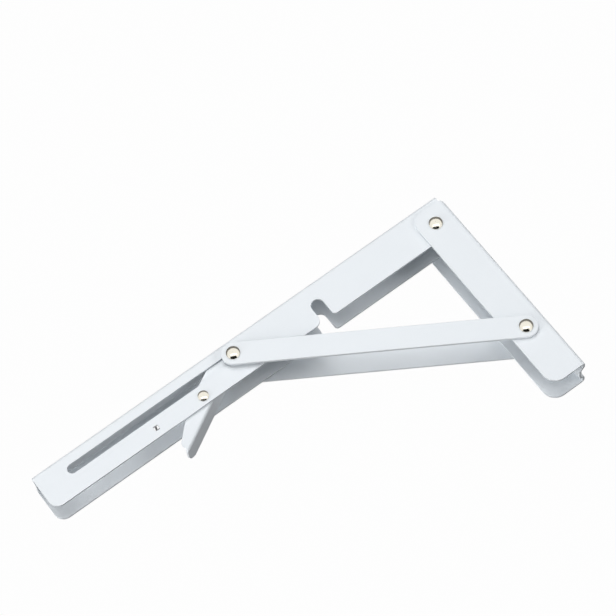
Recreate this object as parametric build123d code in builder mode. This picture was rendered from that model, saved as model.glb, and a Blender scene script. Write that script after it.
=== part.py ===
from build123d import *
from math import acos, atan2, cos, degrees, hypot, pi, radians, sin, sqrt
import os

# Folding shelf bracket, held open: wall leg, shelf arm, two struts and a latch lever.
# X points out from the wall along the arm, Y runs across and Z is up. The shelf lies on the arm's
# top. The origin is the middle wall screw's hole, at the back of the groove's floor, so the wall's
# face is one groove depth behind it. Sizes are in millimetres.

# Sheet, its bends and the groove pressed along both webs
sheet = 1.5
bend_inside = 0.8
groove_depth = 2.5
groove_side = 3.8  # arm's side face to the groove's mouth
groove_slant = 3.5  # groove's mouth to its floor, across
groove_round = 1.0

# Shelf arm
reach = 300.0  # wall face to the arm's tip
arm_width = 22.6
arm_depth = 25.7
arm_tip_round = 6.5
arm_heel_round = 9.5

# Wall leg
leg_depth = 24.3
leg_below_corner = 127.4
leg_corner_round = 9.0
leg_top_round = 4.0

# Pivots, measured from the corner rivet
corner_height = 66.0  # middle wall screw up to the corner rivet
corner_setback = 13.05  # wall face to the corner rivet
corner_drop = 15.8  # shelf face down to the corner rivet
pivot_drop = 88.2  # down to the strut pivot
pin_reach = 147.2  # out to the slot pin, bracket open
slot_rise = 5.4  # up to the slot's centre line
lever_past_pin = 29.4  # slot pin out to the lever's rivet
lever_down = 4.6
anchor_past_lever = 33.7  # lever's rivet out to the spring's square hole
anchor_rise = 0.4

# Struts
strut_width = 14.5
strut_thick = 2.0
strut_edge = 0.4

# Rivets, pin and tubes, all but the heights as diameters
corner_shank = 6.0
pivot_shank = 5.0
lever_shank = 4.0
pin_size = 6.0
pin_stub = 5.0
head_size = 8.5
head_height = 2.1
lever_head_size = 6.7
lever_head_height = 1.6
head_rim = 0.6
corner_tube_size = 9.0
pivot_tube_size = 7.0
lever_tube_size = 6.0
spacer_size = 10.0

# Release lever, in its own directions: along the handle from the rivet, and up from it
lever_slope = 30.0  # handle below the arm's direction
lever_sheet = 1.2
lever_bend_inside = 0.5
lever_web_drop = 6.2  # rivet down to the web's outer face
lever_web_start = -15.2
lever_tip = 35.5
lever_shoulder = (9.0, 6.0)
lever_brow = (33.0, -0.25)
lever_waist = (33.5, -4.0)  # where the long cheek comes down to the web
lever_shoulder_round = 8.0
lever_brow_round = 3.6
lever_waist_round = 1.0
lever_near_round = 2.5  # web's end, on the long cheek's side
lever_far_round = 12.0
lever_short_cheek = 24.0  # end of the other cheek
nose_length = 13.6
nose_foot = 6.6  # nose's lower corner above the rivet
nose_round = 1.2

# Lever spring
wire_size = 1.2
coil_pitch = 1.5
coil_full_turns = 4
spring_leg = 13.0  # part that lies along the lever's web
spring_bend = 1.6
spring_poke = 0.4
anchor_hole = 3.2

# Screw holes
screw_hole = 5.4
wall_screw_step = 42.0
inner_shelf_screws = (32.0, 112.0)  # out from the corner rivet
outer_shelf_screw = 16.0  # back from the arm's tip

# Clearances
rivet_play = 0.05  # radial, shank in its hole
nest_gap = 0.35  # arm's flange beside the leg's
swing_gap = 0.75  # arm's heel to the leg's web
shelf_gap = 0.4  # leg's top under the arm's groove
strut_gap = 0.3  # strut beside the leg
slot_play = 0.15
slot_end_play = 1.7
slide_gap = 0.2  # stud's end beside its strut
spacer_gap = 0.15
cheek_gap = 0.1  # slot pin's lengths beside the lever's cheeks
lever_gap = 0.3  # nose to pin
lever_side_gap = 0.3  # cheek beside the arm's flange
nose_gap = 0.25
notch_play = 0.7  # radial, pivot tube in the arm's notch
notch_over = 1.0  # notch's end past the tube's place
notch_near_round = 2.5
notch_far_round = 5.0
wire_gap = 0.1  # spring to the lever's web and to the square hole's top

# Worked out from the sizes above
leg_width = arm_width + 2 * (nest_gap + sheet)
groove_mouth = arm_width - 2 * groove_side
groove_floor = groove_mouth - 2 * groove_slant
arm_inside = arm_width - 2 * sheet
leg_inside = leg_width - 2 * sheet
wall = -groove_depth
arm_heel = corner_setback - sheet - swing_gap
arm_length = arm_heel + reach - corner_setback
leg_above_corner = corner_drop - sheet - groove_depth - shelf_gap
leg_length = leg_above_corner + leg_below_corner
leg_foot = corner_height - leg_below_corner
arm_top = corner_height + corner_drop

strut_length = hypot(pin_reach, pivot_drop + slot_rise)
folded_reach = pivot_drop + sqrt(strut_length**2 - slot_rise**2)
strut_inner = leg_width / 2 + strut_gap
strut_outer = strut_inner + strut_thick

slot_travel = folded_reach + slot_end_play - pin_reach
notch_size = pivot_tube_size + 2 * notch_play
notch_mouth = corner_drop - arm_depth - notch_over

lever_out = pin_reach + lever_past_pin
lever_width = arm_inside - 2 * lever_side_gap
cheek_inside = lever_width - 2 * lever_sheet
stud_start = lever_width / 2 + cheek_gap
stud_end = strut_inner - slide_gap
spacer_start = arm_width / 2 + spacer_gap
nose_reach = hypot(lever_past_pin, lever_down + slot_rise) - pin_size / 2 - lever_gap
nose_top = lever_down + slot_rise + pin_size / 2 + slot_play - nose_gap
coil_radius = lever_web_drop - lever_sheet - wire_gap - wire_size / 2

corner = Vector(wall + corner_setback, 0, corner_height)
pivot = corner - Vector(0, 0, pivot_drop)
pin = corner + Vector(pin_reach, 0, slot_rise)
lever_pivot = corner + Vector(lever_out, 0, -lever_down)
anchor = lever_pivot + Vector(anchor_past_lever, 0, anchor_rise)
along = Vector(cos(radians(lever_slope)), 0, -sin(radians(lever_slope)))
upright = Vector(sin(radians(lever_slope)), 0, cos(radians(lever_slope)))


def side_plane(at):
    # upright plane along the bracket, seen from the back: its X points outwards, its Y up
    return Plane(origin=at, x_dir=(1, 0, 0), z_dir=(0, -1, 0))


def grooved_section(plane, width, depth):
    # channel section with its web at the top and a groove pressed into the web
    mouth = groove_mouth / 2
    floor = groove_floor / 2
    corner_round = bend_inside + sheet
    mouth_round = groove_round + sheet
    with BuildSketch(plane) as section:
        with BuildLine():
            FilletPolyline(
                (width / 2, -depth),
                (width / 2, 0),
                (mouth, 0),
                (floor, -groove_depth),
                (-floor, -groove_depth),
                (-mouth, 0),
                (-width / 2, 0),
                (-width / 2, -depth),
                radius=[corner_round, mouth_round, groove_round, groove_round, mouth_round, corner_round],
            )
            offset(amount=sheet, side=Side.LEFT)
        make_face()
    return section.sketch


def rivet_section(at, start, grip, shank, head, height):
    # half section about a line along Y: shank from start to grip, domed head beyond grip
    with BuildSketch(Plane(at)) as section:
        with BuildLine():
            outline = Polyline(
                (0, grip + height),
                (0, start),
                (shank / 2, start),
                (shank / 2, grip),
                (head / 2, grip),
                (head / 2, grip + head_rim),
            )
            TangentArc(outline @ 0, outline @ 1, tangent=(1, 0))
        make_face()
    return section.sketch


def ring_section(at, outside, hole, start, end):
    # half section about a line along Y of a tube from start to end
    with BuildSketch(Plane(at)) as section:
        with Locations((hole / 2, start)):
            Rectangle((outside - hole) / 2, end - start, align=(Align.MIN, Align.MIN))
    return section.sketch


os.makedirs("parts", exist_ok=True)

# Wall leg: grooved channel standing on the wall, open outwards
with BuildPart() as wall_leg:
    foot = Plane(origin=(wall, 0, leg_foot), x_dir=(0, 1, 0), z_dir=(0, 0, 1))
    extrude(grooved_section(foot, leg_width, leg_depth), amount=leg_length)
    fillet(wall_leg.edges().filter_by(Axis.Y).group_by(Axis.X)[-1], leg_corner_round)
    with BuildSketch(side_plane((wall, 0, leg_foot + leg_length))):
        with BuildLine():
            Polyline((0, -leg_top_round), (0, 0), (leg_top_round, 0))
            RadiusArc((0, -leg_top_round), (leg_top_round, 0), leg_top_round)
        make_face()
    extrude(amount=leg_width, both=True, mode=Mode.SUBTRACT)
    with BuildSketch(side_plane(corner)):
        Circle(corner_shank / 2 + rivet_play)
        with Locations((0, -pivot_drop)):
            Circle(pivot_shank / 2 + rivet_play)
    extrude(amount=leg_width, both=True, mode=Mode.SUBTRACT)
    with BuildSketch(Plane.YZ):
        with GridLocations(1, wall_screw_step, 1, 3):
            Circle(screw_hole / 2)
    extrude(amount=2 * sheet, both=True, mode=Mode.SUBTRACT)
wall_leg.part.label = "wall_leg"
export_step(wall_leg.part, "parts/wall_leg.step")

# Shelf arm: grooved channel under the shelf, open downwards
with BuildPart() as shelf_arm:
    heel = Plane(origin=(corner.X - arm_heel, 0, arm_top), x_dir=(0, 1, 0), z_dir=(1, 0, 0))
    extrude(grooved_section(heel, arm_width, arm_depth), amount=arm_length)
    fillet(shelf_arm.edges().filter_by(Axis.Y).group_by(Axis.Z)[0].group_by(Axis.X)[-1], arm_tip_round)
    fillet(shelf_arm.edges().filter_by(Axis.Y).group_by(Axis.Z)[0].group_by(Axis.X)[0], arm_heel_round)
    with BuildSketch(side_plane(corner)):
        Circle(corner_shank / 2 + rivet_play)
        with Locations((lever_out, -lever_down)):
            Circle(lever_shank / 2 + rivet_play)
        with Locations((pin_reach + slot_travel / 2, slot_rise)):
            SlotCenterToCenter(slot_travel, pin_size + 2 * slot_play)
    extrude(amount=arm_width, both=True, mode=Mode.SUBTRACT)
    with BuildSketch(side_plane(anchor)):
        Rectangle(anchor_hole, anchor_hole)
    extrude(amount=-arm_width, mode=Mode.SUBTRACT)
    with BuildSketch(side_plane(corner + Vector(pivot_drop, 0, notch_over))):
        with BuildLine():
            side = notch_size / 2
            near = Line((-side, 0), (-side, notch_mouth + notch_near_round))
            RadiusArc(near @ 1, (-side - notch_near_round, notch_mouth), notch_near_round)
            far = Line((side, 0), (side, notch_mouth + notch_far_round))
            RadiusArc(far @ 1, (side + notch_far_round, notch_mouth), -notch_far_round)
            Line((-side - notch_near_round, notch_mouth), (side + notch_far_round, notch_mouth))
            RadiusArc(near @ 0, far @ 0, side)
        make_face()
    extrude(amount=arm_width, both=True, mode=Mode.SUBTRACT)
    with BuildSketch(Plane.XY.offset(arm_top)):
        with Locations(*[(corner.X + out, 0) for out in inner_shelf_screws]):
            Circle(screw_hole / 2)
        with Locations((wall + reach - outer_shelf_screw, 0)):
            Circle(screw_hole / 2)
    extrude(amount=-groove_depth - 2 * sheet, mode=Mode.SUBTRACT)
shelf_arm.part.label = "shelf_arm"
export_step(shelf_arm.part, "parts/shelf_arm.step")

# Struts: flat bars with rounded ends, from the leg's pivot up to the sliding pin
with BuildPart() as strut_front:
    with BuildSketch(Plane(origin=pivot + Vector(0, strut_inner, 0), x_dir=pin - pivot, z_dir=(0, 1, 0))):
        with Locations((strut_length / 2, 0)):
            SlotCenterToCenter(strut_length, strut_width)
    extrude(amount=strut_thick)
    fillet(strut_front.faces().sort_by(Axis.Y)[-1].edges(), strut_edge)
    with BuildSketch(side_plane(pivot)):
        Circle(pivot_shank / 2 + rivet_play)
    extrude(amount=-2 * strut_outer, mode=Mode.SUBTRACT)
    with BuildSketch(side_plane(pin)):
        Circle(pin_stub / 2 + rivet_play)
    extrude(amount=-2 * strut_outer, mode=Mode.SUBTRACT)
strut_front.part.label = "strut_front"
export_step(strut_front.part, "parts/strut_front.step")

with BuildPart() as strut_back:
    mirror(strut_front.part, about=Plane.XZ)
strut_back.part.label = "strut_back"
export_step(strut_back.part, "parts/strut_back.step")

# Corner rivet: through leg and arm, with the arm turning on it
with BuildPart() as corner_rivet:
    section = rivet_section(corner, 0, leg_width / 2, corner_shank, head_size, head_height)
    revolve(section, axis=Axis(corner, (0, 1, 0)))
    mirror(about=Plane.XZ)
corner_rivet.part.label = "corner_rivet"
export_step(corner_rivet.part, "parts/corner_rivet.step")

# Pivot rivet: through both struts, turning with them in the leg
with BuildPart() as pivot_rivet:
    section = rivet_section(pivot, 0, strut_outer, pivot_shank, head_size, head_height)
    revolve(section, axis=Axis(pivot, (0, 1, 0)))
    mirror(about=Plane.XZ)
pivot_rivet.part.label = "pivot_rivet"
export_step(pivot_rivet.part, "parts/pivot_rivet.step")

# Lever rivet: through the arm's flanges
with BuildPart() as lever_rivet:
    section = rivet_section(
        lever_pivot, 0, arm_width / 2, lever_shank, lever_head_size, lever_head_height
    )
    revolve(section, axis=Axis(lever_pivot, (0, 1, 0)))
    mirror(about=Plane.XZ)
lever_rivet.part.label = "lever_rivet"
export_step(lever_rivet.part, "parts/lever_rivet.step")

# Tubes that keep the flanges apart on their rivets
with BuildPart() as corner_tube:
    hole = corner_shank + 2 * rivet_play
    section = ring_section(corner, corner_tube_size, hole, -arm_inside / 2, arm_inside / 2)
    revolve(section, axis=Axis(corner, (0, 1, 0)))
corner_tube.part.label = "corner_tube"
export_step(corner_tube.part, "parts/corner_tube.step")

with BuildPart() as pivot_tube:
    hole = pivot_shank + 2 * rivet_play
    section = ring_section(pivot, pivot_tube_size, hole, -leg_inside / 2, leg_inside / 2)
    revolve(section, axis=Axis(pivot, (0, 1, 0)))
pivot_tube.part.label = "pivot_tube"
export_step(pivot_tube.part, "parts/pivot_tube.step")

with BuildPart() as lever_tube:
    hole = lever_shank + 2 * rivet_play
    section = ring_section(lever_pivot, lever_tube_size, hole, -arm_inside / 2, arm_inside / 2)
    revolve(section, axis=Axis(lever_pivot, (0, 1, 0)))
lever_tube.part.label = "lever_tube"
export_step(lever_tube.part, "parts/lever_tube.step")

# Slot pin: a stud in each slot and the length between the lever's cheeks
with BuildPart() as slot_pin:
    with BuildSketch(Plane(origin=pin, x_dir=(1, 0, 0), z_dir=(0, -1, 0))):
        Circle(pin_size / 2)
    extrude(amount=cheek_inside / 2 - cheek_gap, both=True)
    with BuildSketch(Plane(origin=pin + Vector(0, stud_start, 0), x_dir=(1, 0, 0), z_dir=(0, 1, 0))):
        Circle(pin_size / 2)
    stud = extrude(amount=stud_end - stud_start)
    mirror(stud, about=Plane.XZ)
slot_pin.part.label = "slot_pin"
export_step(slot_pin.part, "parts/slot_pin.step")

# Spacers on the studs, between the arm and the struts
with BuildPart() as spacer_front:
    section = ring_section(pin, spacer_size, pin_size + 2 * rivet_play, spacer_start, stud_end)
    revolve(section, axis=Axis(pin, (0, 1, 0)))
spacer_front.part.label = "spacer_front"
export_step(spacer_front.part, "parts/spacer_front.step")

with BuildPart() as spacer_back:
    mirror(spacer_front.part, about=Plane.XZ)
spacer_back.part.label = "spacer_back"
export_step(spacer_back.part, "parts/spacer_back.step")

# Heads of the slot pin, set in the struts
with BuildPart() as slot_pin_head_front:
    section = rivet_section(pin, strut_inner, strut_outer, pin_stub, head_size, head_height)
    revolve(section, axis=Axis(pin, (0, 1, 0)))
slot_pin_head_front.part.label = "slot_pin_head_front"
export_step(slot_pin_head_front.part, "parts/slot_pin_head_front.step")

with BuildPart() as slot_pin_head_back:
    mirror(slot_pin_head_front.part, about=Plane.XZ)
slot_pin_head_back.part.label = "slot_pin_head_back"
export_step(slot_pin_head_back.part, "parts/slot_pin_head_back.step")

# Release lever: a thumb web and two cheeks whose noses stand behind the slot pin
with BuildPart() as release_lever:
    web_start = lever_pivot + along * lever_web_start - upright * lever_web_drop
    with BuildSketch(Plane(origin=web_start, x_dir=(0, 1, 0), z_dir=along)):
        with BuildLine():
            FilletPolyline(
                (lever_width / 2, nose_reach),
                (lever_width / 2, 0),
                (-lever_width / 2, 0),
                (-lever_width / 2, nose_reach),
                radius=lever_bend_inside + lever_sheet,
            )
            offset(amount=lever_sheet, side=Side.RIGHT)
        make_face()
    extrude(amount=lever_tip - lever_web_start)
    with BuildSketch(Plane(origin=web_start, x_dir=(0, 1, 0), z_dir=along)):
        with GridLocations(lever_width - lever_sheet, 1, 2, 1):
            Rectangle(lever_sheet, 2 * nose_reach)
    extrude(amount=-nose_reach)

    foot_corner = Vector(-sqrt(nose_reach**2 - nose_foot**2), nose_foot)
    top_corner = Vector(-sqrt(nose_reach**2 - nose_top**2), nose_top)
    back_corner = top_corner + Vector(nose_length, 0)
    slope = radians(lever_slope)
    down_slope = Vector(cos(slope), -sin(slope))
    off_slope = Vector(sin(slope), cos(slope))
    shoulder = down_slope * lever_shoulder[0] + off_slope * lever_shoulder[1]
    brow = down_slope * lever_brow[0] + off_slope * lever_brow[1]
    waist = down_slope * lever_waist[0] + off_slope * lever_waist[1]
    web_end = down_slope * lever_tip - off_slope * lever_web_drop
    web_lip = web_end + off_slope * lever_sheet
    web_corner = down_slope * lever_web_start - off_slope * lever_web_drop
    with BuildSketch(side_plane(lever_pivot)) as cheek:
        with BuildLine():
            Polyline(top_corner, back_corner, shoulder, brow, waist, web_lip, web_end)
            Polyline(web_end, web_corner, foot_corner)
            RadiusArc(foot_corner, top_corner, nose_reach)
        make_face()
        for place in foot_corner, top_corner, back_corner:
            fillet(cheek.vertices().sort_by_distance(place)[0], nose_round)
        fillet(cheek.vertices().sort_by_distance(shoulder)[0], lever_shoulder_round)
        fillet(cheek.vertices().sort_by_distance(brow)[0], lever_brow_round)
        fillet(cheek.vertices().sort_by_distance(waist)[0], lever_waist_round)
    extrude(amount=lever_width, both=True, mode=Mode.INTERSECT)
    with BuildSketch(Plane(origin=lever_pivot, x_dir=along, z_dir=upright)) as web:
        with Locations((lever_tip, 0)):
            Rectangle(lever_tip + nose_reach, lever_width, align=(Align.MAX, Align.CENTER))
        fillet(web.vertices().sort_by_distance((lever_tip, lever_width / 2))[0], lever_near_round)
        fillet(web.vertices().sort_by_distance((lever_tip, -lever_width / 2))[0], lever_far_round)
    extrude(amount=nose_reach, both=True, mode=Mode.INTERSECT)
    short_end = lever_pivot + along * lever_short_cheek - upright * (lever_web_drop - lever_sheet)
    with BuildSketch(Plane(origin=short_end, x_dir=along, z_dir=upright)):
        with Locations((0, -cheek_inside / 2)):
            Rectangle(lever_tip, lever_sheet, align=(Align.MIN, Align.MAX))
    extrude(amount=nose_reach, mode=Mode.SUBTRACT)
    with BuildSketch(side_plane(lever_pivot)):
        Circle(lever_tube_size / 2 + rivet_play)
    extrude(amount=lever_width, both=True, mode=Mode.SUBTRACT)
release_lever.part.label = "release_lever"
export_step(release_lever.part, "parts/release_lever.step")

# Lever spring: a coil round the lever's tube, one leg on the web, one hooked in the flange.
# Its wire is drawn with the coil standing on XY. Each half turn is an arc that leans a quarter pitch.
spring_plane = Plane(origin=lever_pivot, x_dir=-upright, z_dir=(0, 1, 0))
hook_seat = anchor + Vector(0, 0, (anchor_hole - wire_size) / 2 - wire_gap)
hook = spring_plane.to_local_coords(hook_seat)
hook_turn = (atan2(hook.Y, hook.X) - acos(coil_radius / hypot(hook.X, hook.Y))) % (2 * pi)
coil_length = coil_pitch * (coil_full_turns + hook_turn / (2 * pi))
free_leg = sqrt(hook.X**2 + hook.Y**2 - coil_radius**2)
lean = coil_pitch / 4
arc_radius = hypot(coil_radius, lean)
with BuildLine() as wire:
    Line((coil_radius, -spring_leg, 0), (coil_radius, 0, 0))
    side = 1
    for half_turn in range(2 * coil_full_turns):
        low = half_turn * coil_pitch / 2
        ThreePointArc(
            (side * coil_radius, 0, low),
            (0, side * arc_radius, low + lean),
            (-side * coil_radius, 0, low + 2 * lean),
        )
        side = -side
    last_turn = Plane(
        origin=(0, 0, coil_full_turns * coil_pitch + lean),
        x_dir=(coil_radius, 0, -lean),
        z_dir=(lean, 0, coil_radius),
    )
    last_arc = ThreePointArc(
        last_turn.from_local_coords(Vector(arc_radius, 0)),
        last_turn.from_local_coords(Vector(arc_radius, 0).rotate(Axis.Z, degrees(hook_turn) / 2)),
        last_turn.from_local_coords(Vector(arc_radius, 0).rotate(Axis.Z, degrees(hook_turn))),
    )
    bend = last_arc @ 1 + (last_arc % 1) * free_leg
    poke = coil_length / 2 + arm_width / 2 + spring_poke
    FilletPolyline(last_arc @ 1, bend, Vector(bend.X, bend.Y, poke), radius=spring_bend)
spring_path = spring_plane.offset(-coil_length / 2) * wire.wire()

with BuildPart() as lever_spring:
    with BuildSketch(Plane(origin=spring_path @ 0, z_dir=spring_path % 0)):
        Circle(wire_size / 2)
    sweep(path=spring_path)
lever_spring.part.label = "lever_spring"
export_step(lever_spring.part, "parts/lever_spring.step")
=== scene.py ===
import math

import bmesh
import bpy
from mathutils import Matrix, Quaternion, Vector


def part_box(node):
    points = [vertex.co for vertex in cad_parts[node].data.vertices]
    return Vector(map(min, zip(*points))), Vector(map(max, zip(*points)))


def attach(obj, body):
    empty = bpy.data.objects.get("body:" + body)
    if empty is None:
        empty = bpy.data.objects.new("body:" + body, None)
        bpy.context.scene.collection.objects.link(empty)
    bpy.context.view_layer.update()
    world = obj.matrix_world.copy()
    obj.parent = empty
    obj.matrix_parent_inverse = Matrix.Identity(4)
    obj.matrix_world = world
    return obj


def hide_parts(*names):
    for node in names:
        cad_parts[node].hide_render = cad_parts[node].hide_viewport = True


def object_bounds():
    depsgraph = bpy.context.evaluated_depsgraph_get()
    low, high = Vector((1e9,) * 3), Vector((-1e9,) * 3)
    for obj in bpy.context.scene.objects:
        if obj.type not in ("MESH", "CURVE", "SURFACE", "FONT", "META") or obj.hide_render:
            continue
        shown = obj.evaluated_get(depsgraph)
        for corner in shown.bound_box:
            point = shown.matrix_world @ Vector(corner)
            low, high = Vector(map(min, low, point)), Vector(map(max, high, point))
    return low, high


# Folding shelf bracket: a wall leg, a shelf arm and a pair of struts in white powder-coated steel,
# held by nickel-plated rivets, with a press lever that lets the slot pin out of its notch.

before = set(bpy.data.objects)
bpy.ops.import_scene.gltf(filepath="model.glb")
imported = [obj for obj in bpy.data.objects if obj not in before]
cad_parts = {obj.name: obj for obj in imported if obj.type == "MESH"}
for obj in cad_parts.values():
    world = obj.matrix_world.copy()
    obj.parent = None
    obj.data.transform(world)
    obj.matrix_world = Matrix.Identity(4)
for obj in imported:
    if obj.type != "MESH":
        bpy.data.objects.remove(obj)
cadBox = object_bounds()
scene = bpy.context.scene


def middleOf(nodeName):
    low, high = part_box(nodeName)
    return (low + high) / 2


# camera: it looks up at the bracket from the front, rolled so that the arm runs down to the left
cameraSettings = {
    "place": Vector((0.4150, 1.4702, -0.5496)),
    "aim": Vector((0.1020, 0.0, 0.0740)),
    "rollDegrees": -39.614,
    "lens": 157.6,  # mm on a 36 mm sensor
    "sensorWidth": 36.0,
    "clipping": (0.05, 20.0),
}


def makeCamera(settings):
    data = bpy.data.cameras.new("bracketCamera")
    data.lens = settings["lens"]
    data.sensor_width = settings["sensorWidth"]
    data.clip_start, data.clip_end = settings["clipping"]
    camera = bpy.data.objects.new("bracketCamera", data)
    scene.collection.objects.link(camera)
    look = (settings["aim"] - settings["place"]).to_track_quat("-Z", "Y")
    turn = look @ Quaternion((0, 0, 1), math.radians(settings["rollDegrees"]))
    camera.rotation_mode = "QUATERNION"
    camera.location = settings["place"]
    camera.rotation_quaternion = turn
    scene.camera = camera
    return turn


cameraTurn = makeCamera(cameraSettings)
print("camera placed")


# nodes of a material or world, made and joined in one call each
def addNode(tree, kind, **inputs):
    node = tree.nodes.new(kind)
    for name, value in inputs.items():
        node.inputs[name].default_value = value
    return node


def newMaterial(name):
    material = bpy.data.materials.new(name)
    material.use_nodes = True
    return material, material.node_tree.nodes["Principled BSDF"]


def objectPlace(tree):
    return tree.nodes.new("ShaderNodeTexCoord").outputs["Object"]


def noiseFrom(tree, place, scale, detail=2.0):
    noise = addNode(tree, "ShaderNodeTexNoise", Scale=scale, Detail=detail)
    tree.links.new(place, noise.inputs["Vector"])
    return noise.outputs["Fac"]


def rangeFrom(tree, value, fromRange, toRange):
    spread = addNode(tree, "ShaderNodeMapRange")
    spread.inputs["From Min"].default_value, spread.inputs["From Max"].default_value = fromRange
    spread.inputs["To Min"].default_value, spread.inputs["To Max"].default_value = toRange
    tree.links.new(value, spread.inputs["Value"])
    return spread.outputs["Result"]


def colourFrom(tree, value, firstColour, lastColour):
    ramp = tree.nodes.new("ShaderNodeValToRGB")
    ramp.color_ramp.elements[0].color = firstColour
    ramp.color_ramp.elements[1].color = lastColour
    tree.links.new(value, ramp.inputs["Fac"])
    return ramp.outputs["Color"]


def bumpFrom(tree, height, depth, under=None):
    bump = addNode(tree, "ShaderNodeBump", Strength=1.0, Distance=depth)
    tree.links.new(height, bump.inputs["Height"])
    if under is not None:
        tree.links.new(under, bump.inputs["Normal"])
    return bump.outputs["Normal"]


def joinShader(tree, shader, colour, roughness, normal):
    tree.links.new(colour, shader.inputs["Base Color"])
    tree.links.new(roughness, shader.inputs["Roughness"])
    tree.links.new(normal, shader.inputs["Normal"])


noiseMiddle = (0.3, 0.7)  # where most of a noise lies

# white powder coat: a faint cool white, semi-gloss, with the fine orange peel that the oven leaves
coatSettings = {
    "thinColour": (0.790, 0.828, 0.860, 1),
    "fullColour": (0.820, 0.856, 0.886, 1),
    "roughness": (0.34, 0.42),
    "index": 1.5,
    "cloudScale": 45.0,
    "glossScale": 160.0,
    "peelScale": 620.0,  # waves about 1.6 mm apart
    "peelDepth": 0.000012,
    "grainScale": 3800.0,  # grains of powder, about 0.25 mm
    "grainDepth": 0.0000025,
}


def makeWhiteCoat(settings):
    material, shader = newMaterial("whitePowderCoat")
    tree = material.node_tree
    place = objectPlace(tree)
    clouds = noiseFrom(tree, place, settings["cloudScale"], detail=3.0)
    colour = colourFrom(tree, clouds, settings["thinColour"], settings["fullColour"])
    gloss = noiseFrom(tree, place, settings["glossScale"])
    roughness = rangeFrom(tree, gloss, noiseMiddle, settings["roughness"])
    peel = bumpFrom(tree, noiseFrom(tree, place, settings["peelScale"]), settings["peelDepth"])
    grain = noiseFrom(tree, place, settings["grainScale"], detail=1.0)
    normal = bumpFrom(tree, grain, settings["grainDepth"], under=peel)
    joinShader(tree, shader, colour, roughness, normal)
    shader.inputs["IOR"].default_value = settings["index"]
    return material


# bright nickel on the rivets: rings from the heading tool round each rivet's own axis
nickelSettings = {
    "colour": (0.92, 0.88, 0.77, 1),
    "clouded": (0.86, 0.82, 0.72, 1),
    "roughness": (0.08, 0.16),
    "cloudScale": 700.0,
    "ringScale": 2600.0,
    "ringWaver": 1.5,
    "ringDepth": 0.0000022,
}


def makeNickel(name, axisPoint, settings):
    material, shader = newMaterial(name)
    tree = material.node_tree
    place = objectPlace(tree)
    centred = tree.nodes.new("ShaderNodeMapping")
    centred.inputs["Location"].default_value = -axisPoint
    tree.links.new(place, centred.inputs["Vector"])
    flat = tree.nodes.new("ShaderNodeMapping")
    flat.inputs["Scale"].default_value = (1, 0, 1)
    tree.links.new(centred.outputs["Vector"], flat.inputs["Vector"])
    rings = addNode(
        tree, "ShaderNodeTexWave", Scale=settings["ringScale"], Distortion=settings["ringWaver"]
    )
    rings.wave_type = "RINGS"
    rings.rings_direction = "SPHERICAL"
    tree.links.new(flat.outputs["Vector"], rings.inputs["Vector"])
    clouds = noiseFrom(tree, place, settings["cloudScale"], detail=3.0)
    colour = colourFrom(tree, clouds, settings["clouded"], settings["colour"])
    roughness = rangeFrom(tree, clouds, noiseMiddle, settings["roughness"])
    normal = bumpFrom(tree, rings.outputs["Fac"], settings["ringDepth"])
    joinShader(tree, shader, colour, roughness, normal)
    shader.inputs["Metallic"].default_value = 1.0
    return material


# dull zinc on the tubes and spacers inside
zincSettings = {
    "dark": (0.46, 0.48, 0.50, 1),
    "light": (0.66, 0.68, 0.70, 1),
    "roughness": (0.32, 0.50),
    "flakeScale": 900.0,
    "flakeSpread": (0.0, 0.8),
    "flakeDepth": 0.000004,
}


def makeZinc(settings):
    material, shader = newMaterial("zincPlate")
    tree = material.node_tree
    flakes = addNode(tree, "ShaderNodeTexVoronoi", Scale=settings["flakeScale"])
    tree.links.new(objectPlace(tree), flakes.inputs["Vector"])
    shade = rangeFrom(tree, flakes.outputs["Distance"], settings["flakeSpread"], (0.0, 1.0))
    colour = colourFrom(tree, shade, settings["light"], settings["dark"])
    roughness = rangeFrom(tree, shade, (0.0, 1.0), settings["roughness"])
    normal = bumpFrom(tree, shade, settings["flakeDepth"])
    joinShader(tree, shader, colour, roughness, normal)
    shader.inputs["Metallic"].default_value = 1.0
    return material


# drawn spring wire
wireSettings = {
    "dark": (0.20, 0.20, 0.205, 1),
    "light": (0.36, 0.355, 0.35, 1),
    "roughness": (0.28, 0.42),
    "streakScale": 1800.0,
    "streakDepth": 0.000003,
}


def makeWire(settings):
    material, shader = newMaterial("springWire")
    tree = material.node_tree
    streaks = noiseFrom(tree, objectPlace(tree), settings["streakScale"], detail=4.0)
    colour = colourFrom(tree, streaks, settings["dark"], settings["light"])
    roughness = rangeFrom(tree, streaks, noiseMiddle, settings["roughness"])
    normal = bumpFrom(tree, streaks, settings["streakDepth"])
    joinShader(tree, shader, colour, roughness, normal)
    shader.inputs["Metallic"].default_value = 1.0
    return material


whiteCoat = makeWhiteCoat(coatSettings)
zinc = makeZinc(zincSettings)
wire = makeWire(wireSettings)
print("materials made")


def paint(piece, material):
    piece.data.materials.clear()
    piece.data.materials.append(material)


# coated sheet pieces: the punched edges are drawn round by the coat
sheetPieces = {
    "wall_leg": {"body": "wall_leg", "edgeRound": 0.00028},
    "shelf_arm": {"body": "shelf_arm", "edgeRound": 0.00028},
    "strut_front": {"body": "struts", "edgeRound": 0.00022},
    "strut_back": {"body": "struts", "edgeRound": 0.00022},
    "release_lever": {"body": "release_lever", "edgeRound": 0.00022},
}
edgeRoundSteps = 3
sharpAngle = math.radians(32)
flatAngle = math.radians(0.4)
weldDistance = 1e-7
largeFaceWeight = 80


def dropCustomNormals(mesh):
    if "custom_normal" in mesh.attributes:
        mesh.attributes.remove(mesh.attributes["custom_normal"])


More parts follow.
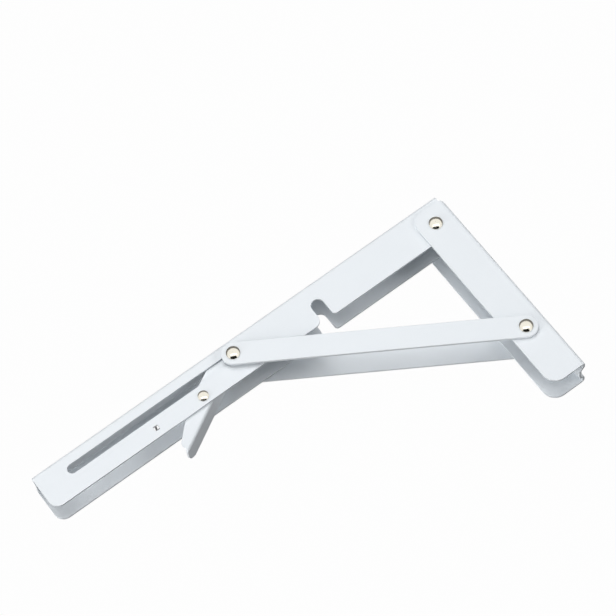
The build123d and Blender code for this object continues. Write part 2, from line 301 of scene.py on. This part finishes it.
def makeCoatedSheet(nodeName, settings):
    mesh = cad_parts[nodeName].data.copy()
    mesh.name = nodeName + "_coated"
    dropCustomNormals(mesh)
    work = bmesh.new()
    work.from_mesh(mesh)
    bmesh.ops.remove_doubles(work, verts=work.verts, dist=weldDistance)
    bmesh.ops.dissolve_limit(
        work, angle_limit=flatAngle, use_dissolve_boundaries=False,
        verts=work.verts, edges=work.edges,
    )
    for face in work.faces:
        face.smooth = True
    work.to_mesh(mesh)
    work.free()
    piece = bpy.data.objects.new(nodeName + "_coated", mesh)
    scene.collection.objects.link(piece)
    soft = piece.modifiers.new("drawnEdges", "BEVEL")
    soft.width = settings["edgeRound"]
    soft.segments = edgeRoundSteps
    soft.limit_method = "ANGLE"
    soft.angle_limit = sharpAngle
    soft.use_clamp_overlap = True
    even = piece.modifiers.new("evenShade", "WEIGHTED_NORMAL")
    even.keep_sharp = False
    even.weight = largeFaceWeight
    paint(piece, whiteCoat)
    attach(piece, settings["body"])
    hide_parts(nodeName)


for nodeName, settings in sheetPieces.items():
    makeCoatedSheet(nodeName, settings)
print("coated sheets made:", len(sheetPieces))

rivetNodes = ["corner_rivet", "pivot_rivet", "lever_rivet"]
rivetNodes += ["slot_pin", "slot_pin_head_front", "slot_pin_head_back"]
tubeNodes = ["corner_tube", "pivot_tube", "lever_tube", "spacer_front", "spacer_back"]
for nodeName in rivetNodes:
    nickel = makeNickel(nodeName + "_nickel", middleOf(nodeName), nickelSettings)
    paint(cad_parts[nodeName], nickel)
for nodeName in tubeNodes:
    paint(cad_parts[nodeName], zinc)
print("rivets and tubes finished")


# lever spring in two runs of wire: the coil and its hook stay with the arm, the leg turns with
# the lever, and its last stretch is thinner and lies inside the coil, so that no gap opens
springSettings = {
    "slope": math.radians(30),  # lever's handle below the arm
    "wireRadius": 0.0006,
    "fillRadius": 0.00054,
    "coilRadius": 0.0043,
    "pitch": 0.0015,
    "fullTurns": 4,
    "legLength": 0.013,
    "legTurn": math.radians(50),  # coil's share of the leg's piece
    "fillTurn": math.radians(32),
    "fillShift": 0.000056,  # half of what the coil climbs while the lever is pressed
    "hookPlace": Vector((0.22085, 0.0, 0.0627)),
    "hookBend": 0.0016,
    "bendSteps": 8,
    "bendReach": 0.0046,  # from the middle plane
    "hookReach": 0.0117,
}
wireSides = 14
coilStep = math.radians(7.5)
fullTurn = 2 * math.pi


def makeWireTube(name, path, radii):
    work = bmesh.new()
    across = (path[1] - path[0]).orthogonal().normalized()
    rings = []
    for index, point in enumerate(path):
        ahead = path[min(index + 1, len(path) - 1)] - path[max(index - 1, 0)]
        ahead.normalize()
        across = (across - ahead * across.dot(ahead)).normalized()
        upwards = ahead.cross(across)
        ring = []
        for side in range(wireSides):
            turn = fullTurn * side / wireSides
            outwards = across * math.cos(turn) + upwards * math.sin(turn)
            ring.append(work.verts.new(point + outwards * radii[index]))
        rings.append(ring)
    for first, last in zip(rings, rings[1:]):
        for side in range(wireSides):
            after = (side + 1) % wireSides
            work.faces.new((first[side], first[after], last[after], last[side]))
    work.faces.new(list(reversed(rings[0])))
    work.faces.new(rings[-1])
    for face in work.faces:
        face.smooth = len(face.verts) == 4
    mesh = bpy.data.meshes.new(name)
    work.to_mesh(mesh)
    work.free()
    piece = bpy.data.objects.new(name, mesh)
    scene.collection.objects.link(piece)
    paint(piece, wire)
    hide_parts("lever_spring")
    return piece


def makeLeverSpring(settings):
    pivot = middleOf("lever_tube")
    slope = settings["slope"]
    along = Vector((math.cos(slope), 0, -math.sin(slope)))
    upright = Vector((math.sin(slope), 0, math.cos(slope)))
    radius = settings["coilRadius"]
    fromPivot = settings["hookPlace"] - pivot
    hookDown = -fromPivot.dot(upright)
    hookBack = -fromPivot.dot(along)
    hookTurn = math.atan2(hookBack, hookDown) - math.acos(radius / math.hypot(hookDown, hookBack))
    lastTurn = fullTurn * settings["fullTurns"] + hookTurn % fullTurn
    coilLength = settings["pitch"] * lastTurn / fullTurn

    def springPoint(down, back, across):
        return pivot - upright * down - along * back + Vector((0, across, 0))

    def coilPoint(turn):
        across = coilLength * (turn / lastTurn - 0.5)
        return springPoint(radius * math.cos(turn), radius * math.sin(turn), across)

    def coilRun(firstTurn, finalTurn):
        span = finalTurn - firstTurn
        steps = math.ceil(span / coilStep)
        return [coilPoint(firstTurn + span * step / steps) for step in range(steps + 1)]

    bend = springPoint(hookDown, hookBack, settings["bendReach"])
    hookEnd = springPoint(hookDown, hookBack, settings["hookReach"])
    coilPath = coilRun(settings["legTurn"], lastTurn)
    bendStart = bend + (coilPath[-1] - bend).normalized() * settings["hookBend"]
    bendEnd = bend + (hookEnd - bend).normalized() * settings["hookBend"]
    for step in range(settings["bendSteps"] + 1):
        part = step / settings["bendSteps"]
        coilPath.append(bendStart.lerp(bend, part).lerp(bend.lerp(bendEnd, part), part))
    coilPath.append(hookEnd)
    coil = makeWireTube("springCoil", coilPath, [settings["wireRadius"]] * len(coilPath))
    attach(coil, "shelf_arm")

    legPath = [springPoint(radius, -settings["legLength"], -coilLength / 2)]
    legPath += coilRun(0, settings["legTurn"])
    fillPath = coilRun(settings["legTurn"], settings["legTurn"] + settings["fillTurn"])
    legRadii = [settings["wireRadius"]] * len(legPath) + [settings["fillRadius"]] * len(fillPath)
    legPath += [point - Vector((0, settings["fillShift"], 0)) for point in fillPath]
    leg = makeWireTube("springLeg", legPath, legRadii)
    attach(leg, "release_lever")


makeLeverSpring(springSettings)
print("lever spring made")


# studio: a white surround, a pale floor well below the bracket, soft lamps, and glowing cards and
# a band seen only in reflections, which paint dark, grey and bright reflections on the nickel and
# the coat
surroundSettings = {"seen": (0.987, 0.987, 0.987, 1), "ambient": (0.110, 0.113, 0.117, 1)}
floorSettings = {
    "height": -2.0,
    "half": 30.0,
    "colour": (0.86, 0.87, 0.88, 1),
    "roughness": 0.8,
    "glow": 0.72,
}
lampSettings = {
    "frontLamp": {"towards": (0.0, 1.0, 0.0), "size": 1.4, "watts": 8.0},
    "overheadLamp": {"towards": (-0.05, 0.87, 0.50), "size": 2.0, "watts": 32.5},
    "sideLamp": {"towards": (0.85, 0.53, 0.0), "size": 1.4, "watts": 17.0},
    "endLamp": {"towards": (0.99, 0.10, 0.0), "size": 1.4, "watts": 28.0},
    "lowLamp": {"towards": (-0.66, 0.53, -0.53), "size": 1.4, "watts": 21.0},
    "rearLamp": {"towards": (0.15, -0.96, 0.25), "size": 2.0, "watts": 48.0},
}
lampDistance = 2.5
# painted reflections: the cards and the band glow only for reflections, dark, grey and bright
# turned right and up from the camera, seen from the bracket, and tilted, in degrees
cardSettings = {
    "darkCard": {"turned": (-1, -18, 11), "distance": 1.9, "size": (2.5, 1.55), "level": 0.01},
    "rearCard": {"turned": (160, -14, 0), "distance": 1.9, "size": (3.2, 3.2), "level": 0.14},
    "brightCard": {"turned": (-1, 18, 11), "distance": 2.0, "size": (2.8, 0.85), "level": 1.6},
}
bandSettings = {"radius": 2.2, "reach": 1.0, "steps": 48, "level": 0.18}


def makeSurround(settings):
    world = bpy.data.worlds.new("studioSurround")
    scene.world = world
    world.use_nodes = True
    tree = world.node_tree
    tree.nodes.clear()
    output = tree.nodes.new("ShaderNodeOutputWorld")
    seen = addNode(tree, "ShaderNodeBackground", Color=settings["seen"], Strength=1.0)
    ambient = addNode(tree, "ShaderNodeBackground", Color=settings["ambient"], Strength=1.0)
    path = tree.nodes.new("ShaderNodeLightPath")
    shown = path.outputs["Is Camera Ray"]
    for ray in ["Is Glossy Ray", "Is Transmission Ray"]:
        either = tree.nodes.new("ShaderNodeMath")
        either.operation = "MAXIMUM"
        tree.links.new(shown, either.inputs[0])
        tree.links.new(path.outputs[ray], either.inputs[1])
        shown = either.outputs[0]
    mix = tree.nodes.new("ShaderNodeMixShader")
    tree.links.new(shown, mix.inputs["Fac"])
    tree.links.new(ambient.outputs[0], mix.inputs[1])
    tree.links.new(seen.outputs[0], mix.inputs[2])
    tree.links.new(mix.outputs[0], output.inputs["Surface"])


def makeFlat(name, halfWidth, halfHeight):
    mesh = bpy.data.meshes.new(name)
    corners = [(-halfWidth, -halfHeight, 0), (halfWidth, -halfHeight, 0)]
    corners += [(halfWidth, halfHeight, 0), (-halfWidth, halfHeight, 0)]
    mesh.from_pydata(corners, [], [(0, 1, 2, 3)])
    flat = bpy.data.objects.new(name, mesh)
    scene.collection.objects.link(flat)
    return flat


def makeFloor(settings):
    floor = makeFlat("studioFloor", settings["half"], settings["half"])
    floor.location.z = settings["height"]
    material, shader = newMaterial("palePaint")
    shader.inputs["Base Color"].default_value = settings["colour"]
    shader.inputs["Roughness"].default_value = settings["roughness"]
    shader.inputs["Emission Color"].default_value = settings["colour"]
    shader.inputs["Emission Strength"].default_value = settings["glow"]
    paint(floor, material)
    floor.visible_diffuse = False
    floor.visible_glossy = False


bracketMiddle = (cadBox[0] + cadBox[1]) / 2


def makeLamp(name, settings):
    data = bpy.data.lights.new(name, "AREA")
    data.shape = "DISK"
    data.size = settings["size"]
    data.energy = settings["watts"]
    lamp = bpy.data.objects.new(name, data)
    towards = Vector(settings["towards"]).normalized()
    lamp.location = bracketMiddle + towards * lampDistance
    lamp.rotation_mode = "QUATERNION"
    lamp.rotation_quaternion = (-towards).to_track_quat("-Z", "Y")
    lamp.visible_glossy = False
    scene.collection.objects.link(lamp)


# painted reflection: a glow that the camera, the diffuse light and the shadows don't see, only
# reflections
def makePaintedReflection(piece, level):
    material, shader = newMaterial(piece.name + "Paint")
    shader.inputs["Base Color"].default_value = (0, 0, 0, 1)
    shader.inputs["Specular IOR Level"].default_value = 0.0
    shader.inputs["Emission Color"].default_value = (1, 1, 1, 1)
    shader.inputs["Emission Strength"].default_value = level
    paint(piece, material)
    piece.visible_camera = False
    piece.visible_diffuse = False
    piece.visible_transmission = False
    piece.visible_shadow = False


def makeCard(name, settings):
    width, height = settings["size"]
    card = makeFlat(name, width / 2, height / 2)
    right, up, tilt = [math.radians(degrees) for degrees in settings["turned"]]
    aside = Quaternion((0, 1, 0), right) @ Quaternion((1, 0, 0), -up)
    turn = cameraTurn @ aside @ Quaternion((0, 0, 1), tilt)
    card.location = bracketMiddle + turn @ Vector((0, 0, settings["distance"]))
    card.rotation_mode = "QUATERNION"
    card.rotation_quaternion = turn
    makePaintedReflection(card, settings["level"])


def makeBand(settings):
    rim = []
    reach = Vector((0, settings["reach"], 0))
    for step in range(settings["steps"]):
        turn = fullTurn * step / settings["steps"]
        sideways = Vector((math.cos(turn), 0, math.sin(turn))) * settings["radius"]
        rim.append(bracketMiddle + sideways + reach)
        rim.append(bracketMiddle + sideways - reach)
    count = len(rim)
    faces = [(i, i + 1, (i + 3) % count, (i + 2) % count) for i in range(0, count, 2)]
    mesh = bpy.data.meshes.new("greyBand")
    mesh.from_pydata(rim, [], faces)
    band = bpy.data.objects.new("greyBand", mesh)
    scene.collection.objects.link(band)
    makePaintedReflection(band, settings["level"])


makeSurround(surroundSettings)
makeFloor(floorSettings)
for name, settings in lampSettings.items():
    makeLamp(name, settings)
for name, settings in cardSettings.items():
    makeCard(name, settings)
makeBand(bandSettings)
scene.view_settings.view_transform = "Standard"
print("studio lit")
